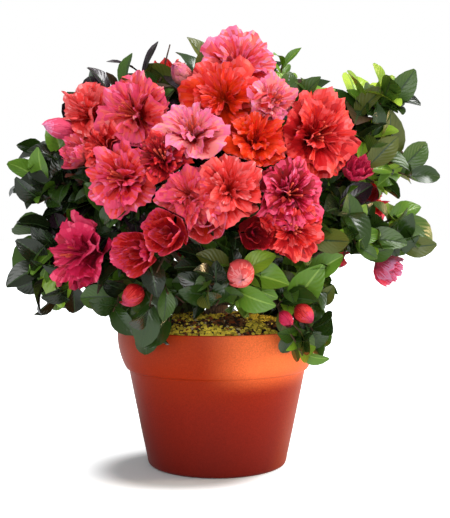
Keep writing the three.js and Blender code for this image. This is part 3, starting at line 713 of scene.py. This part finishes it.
def bloom_outline(kind, size, turn):
    """The points of a flower's outline that are tried for room, standing on the origin along +Z."""
    angles = np.arange(10) * math.pi / 5 - math.pi / 2
    if kind == "bud":
        rings = [(0.3, 0.38), (0.24, 0.74), (0, 1)]
    else:
        width, depth = (0.72, 0.55) if kind == "cup" else (1, 0.36)
        rings = [(0.225 * width, depth * 0.45), (width / 2, depth), (width / 4, depth * 1.2)]
    points = []
    for k, (r, z) in enumerate(rings):
        lobe = np.cos(angles * 5) * (0, 0.16, -0.2)[k] * (kind != "bud")
        lift = 0.045 * (np.cos(angles * 2 + turn) + lobe * 4) * (k > 0) * (kind != "bud")
        points.append(np.stack([r * (1 + lobe) * np.cos(angles + turn), r * (1 + lobe) * np.sin(angles + turn),
                                z + lift], 1))
    return np.concatenate(points) * size


def fits(points, m):
    return in_space(points, m) & clear_of_pot(points) & clear_of_limbs(points)


def pulled_in(points, heart, m):
    """Draws the points that would leave a mass's space in towards their flower's heart."""
    pulled = points.copy()
    left = ~fits(pulled, m)
    for pull in np.arange(0.05, FLOWER_PULL + 0.01, 0.05):
        if not left.any():
            break
        pulled[left] = points[left] + (heart - points[left]) * pull
        left[left] = ~fits(pulled[left], m)
    return pulled, left


LEAF_TEST = np.array([(0, 0, 0), (LEAF_WIDTH / 2, LEAF_ARCH, 0.55), (-LEAF_WIDTH / 2, LEAF_ARCH, 0.55),
                      (0, LEAF_ARCH - LEAF_KEEL, 0.5), (0, -LEAF_DROOP, 1)])
flowers, leaves, twigs = [], [], []


def through_flower(points):
    """Whether any point lies in front of a flower's petals or among them."""
    for f in flowers:
        offset = points - f["base"]
        if np.abs(offset).max(1).min() > f["size"] * 1.2:
            continue
        rise = offset @ f["axis"]
        across = np.linalg.norm(offset - rise[:, None] * f["axis"], axis=1)
        wide, slope = (0.56, 0.62) if f["kind"] == "bloom" else (0.4, 0.2)
        inside = (rise > across * slope - 1) & (rise < f["size"] * 0.85) & (across < wide * f["size"])
        if inside.any():
            return True
    return False


def too_low(points):
    """Whether any point hangs too far over the rim, or lies in the open space at either side."""
    x, _, z = points.T
    lowest = np.where(x > OPEN_RIGHT, RIGHT_TOP, np.where(x < OPEN_LEFT, LEFT_TOP, LOWEST_LEAF))
    return (z < lowest).any()


def grow_leaf(m, root, way, size, room, greens, hearts, random):
    for share in LEAF_SHARES:
        points = root + LEAF_TEST * size * share @ way.T
        middle = points[1:].mean(0)
        crowded = any(np.linalg.norm(heart - middle) < r + size * share * room for heart, r in hearts)
        between = np.concatenate([(points[1:4] + points[0]) / 2, (points[1:4] + points[4]) / 2])
        tried = np.concatenate([points[1:], between, middle[None]])
        if crowded or too_low(points[1:]) or not fits(tried, m).all() or through_flower(tried):
            continue
        hearts.append((middle, 0))
        leaves.append({"root": root, "way": way, "size": size * share, "greens": greens, "seed": next(random),
                       "slim": 1})
        return


for m, mass in enumerate(masses):
    random = seeded(m + TWIG_SEED)
    root, heart = mass["root"], mass["heart"]
    stem_tip = root + (heart - root) * STEM_REACH
    mass["forks"] = []
    twigs.append((root, stem_tip, STEM_RADIUS, TWIG_RADIUS))
    planned = [(list(leaf_places(STEM_LEAVES[0], STEM_LEAVES[1:3], np.linalg.norm(stem_tip - root) / 3, stem_tip,
                                 root, unit(heart - root), LEAF_LENGTH, random)), mass["greens"])]
    for s in mass["shoots"]:
        base = s["tip"] - s["away"] * s["size"] * SET_BACK[s["kind"]]
        end = base + s["away"] * 2
        for share in FORKS:
            fork = root + (stem_tip - root) * share
            if in_space(along(fork, end, [0, 0.2, 0.4, 0.6, 0.8, 1]), m, TWIG_RADIUS + CELL_MARGIN).all():
                break
        twigs.append((fork, end, TWIG_RADIUS, TWIG_TIP))
        mass["forks"].append((fork, end))
        turn = next(random) * math.pi
        if s["kind"] != "tuft":
            for share in FLOWER_SHARES:
                size = s["size"] * share
                outline = base + bloom_outline(s["kind"], size, turn) @ np.array(standing(s["away"])).T
                _, left = pulled_in(outline, base + s["away"] * size * FLOWER_HEART, m)
                if not left.any():
                    flowers.append({"mass": m, "kind": s["kind"], "base": base, "axis": s["away"], "size": size,
                                    "turn": turn, "colours": s["colours"]})
                    break
        tufted = s["kind"] == "tuft"
        count, low, high, spacing = TUFT if tufted else WHORL
        planned.append((list(leaf_places(count, (low, high), spacing, base, fork, s["away"],
                                         s["size"] if tufted else LEAF_LENGTH, random)),
                        s["colours"] if tufted else mass["greens"]))
    mass["planned"] = planned

for m, mass in enumerate(masses):
    look, heart = seeded(m + LEAF_SEED), mass["heart"]
    hearts = [(f["base"] + f["axis"] * f["size"] * FLOWER_HEART, f["size"] * FLOWER_ROOM)
              for f in flowers if f["mass"] == m]
    for places, greens in mass["planned"]:
        for root, way, size in places:
            grow_leaf(m, root, way, size, LEAF_ROOM, greens, hearts, look)
    for k in range(SIDE_TWIGS):
        fork, end = mass["forks"][k % len(mass["forks"])]
        start = fork + (end - fork) * (0.1 + 0.75 * next(look))
        opening = 40 + 45 * next(look)
        turn = k * GOLDEN_ANGLE + next(look)
        way = np.array(standing(unit(end - fork)) @ Matrix.Rotation(turn, 3, "Z")
                       @ Matrix.Rotation(-math.radians(opening), 3, "X"))
        tip = start + way[:, 2] * (12 + 20 * next(look)) + (0, 0, 3 if heart[2] > HIGH_FROM else -SIDE_DROOP)
        way_points = along(start, tip, [0.3, 0.6, 1])
        if too_low(way_points) or through_flower(way_points):
            continue
        if not in_space(way_points, m).all() or not clear_of_pot(way_points).all():
            continue
        twigs.append((start, tip, 0.9, 0.6))
        for root, leaf_way, size in leaf_places(SIDE_LEAVES, (30, 88), 3, tip, start, unit(tip - start),
                                                SIDE_LENGTH, look):
            grow_leaf(m, root, leaf_way, size, SIDE_ROOM, mass["greens"], hearts, look)

look = seeded(EXTRA_SEED)
for start, tip, count, size, slim, greens in EXTRA_SHOOTS:
    start, tip = np.array(start, float), np.array(tip, float)
    twigs.append((start, tip, 1.0, 0.5))
    for root, way, size in leaf_places(count, (35, 80), 4, tip, start, unit(tip - start), size, look):
        leaves.append({"root": root, "way": way, "size": size, "greens": greens, "seed": next(look), "slim": slim})


# ---- Twigs ----
# Thin brown shoots, slightly crooked, one mesh for the whole plant.
WAVER_SEED = 5
noise.seed_set(WAVER_SEED)  # noise_vector is the one noise that would differ from run to run


def crooked(start, end, base_radius, tip_radius, seed):
    """A twig's line of points and radii, wavering a little between its ends."""
    reach = np.linalg.norm(end - start)
    line = []
    for t in np.linspace(0, 1, max(3, int(reach / 7))):
        place = start + (end - start) * t
        sway = np.array(noise.noise_vector(Vector(place) * 0.06 + Vector((seed, 0, 0))))
        line.append((place + sway * math.sin(math.pi * t) * min(2.0, reach * 0.05),
                     base_radius + (tip_radius - base_radius) * t))
    return line


twig_piece = add_piece("twigs", tubes("twigs", [crooked(*twig, i * 0.37) for i, twig in enumerate(twigs)], 1))
twig_piece.data.materials.append(plain_finish("twig_bark", "#4f3524", 0.75)[0])
mass_nodes = ["mass_" + mass["name"] for mass in masses]
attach(twig_piece, "root")
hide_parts(*mass_nodes)


# ---- Leaves ----
# Thick, glossy, pointed leaves with a sunken midrib. Old ones are dark or bronzed, new ones lime green. The darker
# greens on the crown's left and under its blooms and the brighter ones on its right and top are partly the leaves'
# own age and partly painted shade and painted light.
LEAF_TINTS = {
    "ink": "#18220f", "deep": "#263c12", "leaf": "#3c571c", "mid": "#5a7f24", "new": "#88ad30", "lime": "#aacb40",
    "olive": "#545c22", "bronze": "#44301f", "plum": "#26161f", "rib_dark": "#2f4224", "rib_light": "#7f9f42",
    "fern": "#6d9a24",
}
# The "shaded" and "dark" greens are partly painted shade, and the "bright" greens partly painted light, besides
# the leaves' own tones.
GREENS = {
    "dark": ["ink", "deep", "ink", "deep", "leaf", "plum"],
    "dusky": ["deep", "bronze", "olive", "plum", "leaf"],
    "green": ["leaf", "deep", "ink", "mid", "olive", "new", "leaf", "deep"],
    "olive": ["olive", "bronze", "mid", "leaf", "olive"],
    "fresh": ["mid", "leaf", "new", "mid", "leaf"],
    "lime": ["lime", "new", "bronze", "new", "lime"],
    "bright": ["new", "mid", "fern", "mid"], "glossy": ["deep", "leaf", "ink", "deep"],
    "shaded": ["ink", "deep", "plum", "ink", "deep", "mid", "ink"],
}


def veined(material, shader, relief, stretch, strength, distance):
    """Adds a relief that lies along a leaf's or petal's own length and breadth."""
    nodes, links = material.node_tree.nodes, material.node_tree.links
    flat = nodes.new("ShaderNodeUVMap")
    flat.uv_map = "spread"
    stretched = nodes.new("ShaderNodeMapping")
    stretched.inputs["Scale"].default_value = stretch
    pattern = nodes.new(relief)
    links.new(flat.outputs["UV"], stretched.inputs["Vector"])
    links.new(stretched.outputs["Vector"], pattern.inputs["Vector"])
    embossed(material.node_tree, shader, pattern.outputs["Fac"], strength, distance)
    return pattern


def leaf_finish(tint, colour):
    old = tint in ("ink", "deep", "plum")
    material, shader = plain_finish("leaf_" + tint, colour, 0.22 if old else 0.32)
    shader.inputs["Specular IOR Level"].default_value = 0.5 if old else 0.38
    veins = veined(material, shader, "ShaderNodeTexWave", (-0.4, 1, 1), 0.15 if old else 0.3, 0.0005)
    veins.bands_direction = "DIAGONAL"
    veins.inputs["Scale"].default_value = 5
    veins.inputs["Distortion"].default_value = 1.5
    return material


bm = bmesh.new()  # a leaf: five columns, the narrow middle one its rib, and seven rows
bmesh.ops.create_grid(bm, x_segments=5, y_segments=7, size=1)
grid, leaf_faces = arrays_of(bm)
leaf_u = np.interp(grid[:, 0], (-1, -0.6, -0.2, 0.2, 0.6, 1), (-1, -0.55, -0.07, 0.07, 0.55, 1))
leaf_v = (grid[:, 1] + 1) / 2
leaf_rib = np.abs(grid[leaf_faces][:, :, 0].mean(1)) < 0.1
leaf_spread = np.stack([np.abs(leaf_u), leaf_v], 1)
SKY_SIDE = unit(np.array((0.2, -0.6, 0.75)))


def leaf_shape(leaf):
    """A leaf's points: pointed at both ends, folded along its midrib, arched and drooping at the tip."""
    seed, size = leaf["seed"] * 40, leaf["size"]
    half = LEAF_WIDTH / 2 * 1.08 * np.sin(math.pi * np.clip(leaf_v, 0.02, 0.988) ** 1.15) ** 0.64
    half = np.maximum(half * leaf["slim"], 0.012)
    fold = np.abs(leaf_u) * half * 0.42
    wave = 0.018 * np.sin(leaf_v * 9 + seed) * np.abs(leaf_u) * np.sign(leaf_u)
    sag = LEAF_ARCH * np.sin(math.pi * leaf_v) * 0.6 - LEAF_DROOP * leaf_v ** 2.4 * (0.6 + 0.8 * (seed % 1))
    bend = 0.05 * math.sin(seed) * leaf_v ** 2
    shape = np.stack([leaf_u * half + bend, fold + wave + sag - 0.01, leaf_v], 1) * size
    across, face, run = leaf["way"].T
    roll = 0.65 * np.clip(math.atan2(-SKY_SIDE @ across, SKY_SIDE @ face), -1.3, 1.3)
    turned = np.stack([across * math.cos(roll) + face * math.sin(roll),
                       face * math.cos(roll) - across * math.sin(roll), run])
    return leaf["root"] + shape @ turned


leaf_shapes = []
for leaf in leaves:
    palette = GREENS[leaf["greens"]]
    tint = palette[int(leaf["seed"] * 997) % len(palette)]
    rib = "rib_light" if tint in ("mid", "new", "lime", "fern") else "rib_dark"
    leaf_shapes.append((leaf_shape(leaf), leaf_faces, np.where(leaf_rib, rib, tint)))
leaf_piece = joined("leaves", leaf_shapes, LEAF_TINTS, leaf_finish, spread=leaf_spread)
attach(leaf_piece, "root")
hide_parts(*mass_nodes)


# ---- Flowers ----
# Double azalea blooms: whorls of broad, pleated petals with crinkled rims, hot in the throat and pinker
# outwards. Half-open ones are cups, and buds are wrapped tight. Pale filaments stand in the open throats.
PETAL_TINTS = {
    "ember": "#e8380d", "flame": "#de2415", "scarlet": "#c6181e", "blood": "#960f1a", "wine": "#700c1b",
    "coral": "#e63c3a", "salmon": "#ec5a5c", "shell": "#f98e90", "rose": "#e64a70", "pink": "#f67aa4",
    "lilac": "#f096c0", "magenta": "#cf2252", "crimson": "#b31637", "amber": "#f5601f",
}
PALETTES = {  # at the throat, halfway, near the rim and at the rim
    "salmon": ["ember", "coral", "salmon", "pink"], "coral": ["flame", "coral", "salmon", "rose"],
    "orange": ["amber", "ember", "ember", "coral"], "ember": ["scarlet", "flame", "ember", "ember"],
    "flame": ["flame", "flame", "coral", "salmon"], "red": ["blood", "scarlet", "scarlet", "coral"],
    "scarlet": ["crimson", "scarlet", "coral", "rose"], "frilled": ["blood", "scarlet", "coral", "rose"],
    "pink": ["coral", "salmon", "shell", "pink"], "lilac": ["magenta", "rose", "rose", "lilac"],
    "pale": ["coral", "salmon", "salmon", "shell"], "crimson": ["crimson", "crimson", "magenta", "magenta"],
    "dark_red": ["wine", "blood", "blood", "scarlet"], "cerise": ["wine", "blood", "blood", "rose"],
}
# Each whorl: petals, the four control points of its petals' run as (radius, height) shares of the flower's
# size, the half angle that a petal spans, and how ruffled it is.
WHORLS = {
    "bloom": [
        (5, ((0, 0), (0.14, 0.06), (0.36, 0.36), (0.57, 0.25)), 50, 0.08),
        (4, ((0, 0.03), (0.10, 0.14), (0.24, 0.42), (0.46, 0.36)), 54, 0.085),
        (4, ((0, 0.05), (0.05, 0.18), (0.14, 0.40), (0.32, 0.44)), 40, 0.09),
        (4, ((0, 0.06), (0.03, 0.20), (0.08, 0.36), (0.18, 0.42)), 44, 0.09),
    ],
    "cup": [
        (4, ((0, 0), (0.27, 0.08), (0.40, 0.32), (0.42, 0.56)), 54, 0.05),
        (3, ((0, 0.03), (0.18, 0.14), (0.28, 0.36), (0.24, 0.60)), 62, 0.05),
        (2, ((0, 0.05), (0.08, 0.2), (0.14, 0.40), (0.10, 0.58)), 75, 0.04),
    ],
    "bud": [
        (3, ((0, 0), (0.34, 0.10), (0.46, 0.60), (0, 0.86)), 86, 0.014),
        (2, ((0, 0.02), (0.26, 0.2), (0.36, 0.62), (0, 0.80)), 100, 0.02),
    ],
}
ROWS, COLUMNS = 10, 25
PALETTE_STOPS, EDGE_START, EDGE_SHARE, EDGE_TINT = (0.1, 0.4, 0.74, 1), 0.93, 0.45, 0.28
PETAL_SEED, STAMEN_SHARE, STAMENS = 23, 0.4, 7


def petal_finish(tint, colour):
    material, shader = plain_finish("petal_" + tint, colour, 0.5)
    shader.inputs["Specular IOR Level"].default_value = 0.3
    pleats = veined(material, shader, "ShaderNodeTexNoise", (16, 2.5, 1), 0.9, 0.0012)
    pleats.inputs["Scale"].default_value = 1
    pleats.inputs["Detail"].default_value = 4
    return material


bm = bmesh.new()
bmesh.ops.create_grid(bm, x_segments=COLUMNS, y_segments=ROWS, size=1)
grid, petal_faces = arrays_of(bm)
petal_u, petal_v = grid[:, 0], (grid[:, 1] + 1) / 2
petal_column = np.round((petal_u + 1) / 2 * COLUMNS).astype(int)
face_v = petal_v[petal_faces].mean(1)
face_column = petal_column[petal_faces].min(1)
pleat = np.where(petal_column % 2 == 0, 1, -1)
petal_spread = np.stack([petal_u, petal_v], 1)


def petal_shape(run, half_angle, ruffle, around, draw):
    """One petal of a flower of size 1 that stands on the origin: a pleated fan that crinkles at its rim."""
    u, v = petal_u, petal_v
    p0, p1, p2, p3 = (np.array(p) for p in run)
    scallop = draw.normal(0, 0.024, COLUMNS + 1)[petal_column]
    cut_back = 0.25 * np.abs(u) ** 3 + 0.06 * np.exp(-(u / 0.15) ** 2) - scallop
    rim = 1 - cut_back * (1 if p3[0] > 0 else 0.1)  # a bud's petals meet at the tip
    t = (v * rim)[:, None]
    path = p0 * (1 - t) ** 3 + p1 * 3 * t * (1 - t) ** 2 + p2 * 3 * t * t * (1 - t) + p3 * t ** 3
    radius = path[:, 0] * draw.uniform(0.88, 1.04)
    height = path[:, 1] * draw.uniform(0.8, 1.15)
    phase = draw.uniform(0, 6.28, 5)
    wave = np.sin(u * draw.uniform(3, 5) + phase[0]) + 0.55 * np.sin(u * draw.uniform(8, 12) + phase[1])
    height = height + ruffle * v ** 1.5 * wave + 0.0065 * pleat * v
    height = height + draw.uniform(-0.09, 0.09) * u * v
    radius = radius + ruffle * 0.5 * v ** 2 * np.sin(u * 5 + phase[2]) + 0.01 * np.sin(v * 14 + u * 4 + phase[3])
    angle = around + math.radians(half_angle) * u * (0.72 + 0.28 * v) + 0.06 * np.sin(v * 5 + phase[4])
    return np.stack([radius * np.cos(angle), radius * np.sin(angle), height], 1)


def rgb(code):
    return np.array([int(code[i:i + 2], 16) for i in (1, 3, 5)]) / 255


# The pale pink that some rim faces take: partly the petals' own pale edges and partly a painted highlight.
PALE_RIM_AND_HIGHLIGHT = rgb("#ffb4c4")
tint_names = list(PETAL_TINTS)
tint_colours = np.array([rgb(code) for code in PETAL_TINTS.values()])


def petal_shades(palette, draw):
    """The nearest tint for each face of a petal whose colour runs through a palette from throat to rim."""
    stops = np.array([rgb(PETAL_TINTS[tint]) for tint in palette])
    streak = draw.normal(0, 0.08, COLUMNS)[face_column] + np.where(face_column % 2 == 0, 0.07, -0.07) * face_v
    place = np.clip(face_v * 1.05 + streak + draw.uniform(-0.12, 0.08), 0, 1)
    wanted = np.stack([np.interp(place, PALETTE_STOPS, stops[:, i]) for i in range(3)], 1)
    # Some faces along the rim are paled towards pink: partly the petals' own pale edges, partly a painted
    # highlight.
    edge = (face_v > EDGE_START) & (draw.random(len(place)) < EDGE_SHARE)
    wanted = np.where(edge[:, None], wanted * (1 - EDGE_TINT) + PALE_RIM_AND_HIGHLIGHT * EDGE_TINT, wanted)
    wanted = wanted * draw.uniform(0.9, 1.08) + draw.normal(0, 0.02, (len(place), 1))
    return np.linalg.norm(wanted[:, None] - tint_colours, axis=2).argmin(1)


def bloom_shapes(flower, draw):
    """The petals of one flower, in place, with a tint for each face."""
    way = np.array(standing(flower["axis"]))
    heart = flower["base"] + flower["axis"] * flower["size"] * FLOWER_HEART
    shapes = []
    for ring, (count, run, half_angle, ruffle) in enumerate(WHORLS[flower["kind"]]):
        offset = flower["turn"] + ring * 0.62 + draw.uniform(-0.3, 0.3)
        for k in range(count):
            around = offset + (k + draw.uniform(-0.16, 0.16)) * 2 * math.pi / count
            local = petal_shape(run, half_angle, ruffle, around, draw) * flower["size"]
            points, _ = pulled_in(flower["base"] + local @ way.T, heart, flower["mass"])
            shades = petal_shades(PALETTES[flower["colours"]], draw)
            shapes.append((points, petal_faces, np.array(tint_names)[shades]))
    return shapes


draw = np.random.default_rng(PETAL_SEED)
front_shapes, back_shapes = [], []
for flower in flowers:
    (front_shapes if flower["base"][1] < 0 else back_shapes).extend(bloom_shapes(flower, draw))
for name, shapes in (("front_petals", front_shapes), ("back_petals", back_shapes)):
    petals = joined(name, shapes, PETAL_TINTS, petal_finish, spread=petal_spread)
    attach(petals, "root")
    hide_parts(*mass_nodes)

stamens = []
for flower in flowers:
    if flower["kind"] != "bloom" or draw.random() > STAMEN_SHARE:
        continue
    way = np.array(standing(flower["axis"]))
    for _ in range(STAMENS):
        turn, lean = draw.uniform(0, 6.28), draw.uniform(0.03, 0.13)
        foot = flower["base"] + flower["axis"] * flower["size"] * 0.1
        out = np.array((lean * math.cos(turn), lean * math.sin(turn), draw.uniform(0.40, 0.50)))
        tip = flower["base"] + way @ out * flower["size"]
        stamens.append([(foot, 0.35), ((foot + tip) / 2 + flower["axis"], 0.3), (tip, 0.28), (tip, 0.8),
                        (tip + flower["axis"] * 1.4, 0.7)])
stamen_piece = add_piece("stamens", tubes("stamens", stamens, 1))
stamen_piece.data.materials.append(plain_finish("filament", "#d8503c", 0.6)[0])
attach(stamen_piece, "root")
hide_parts(*mass_nodes)

visual_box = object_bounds()
[[list(corner) for corner in box] for box in (solid_box, visual_box)]
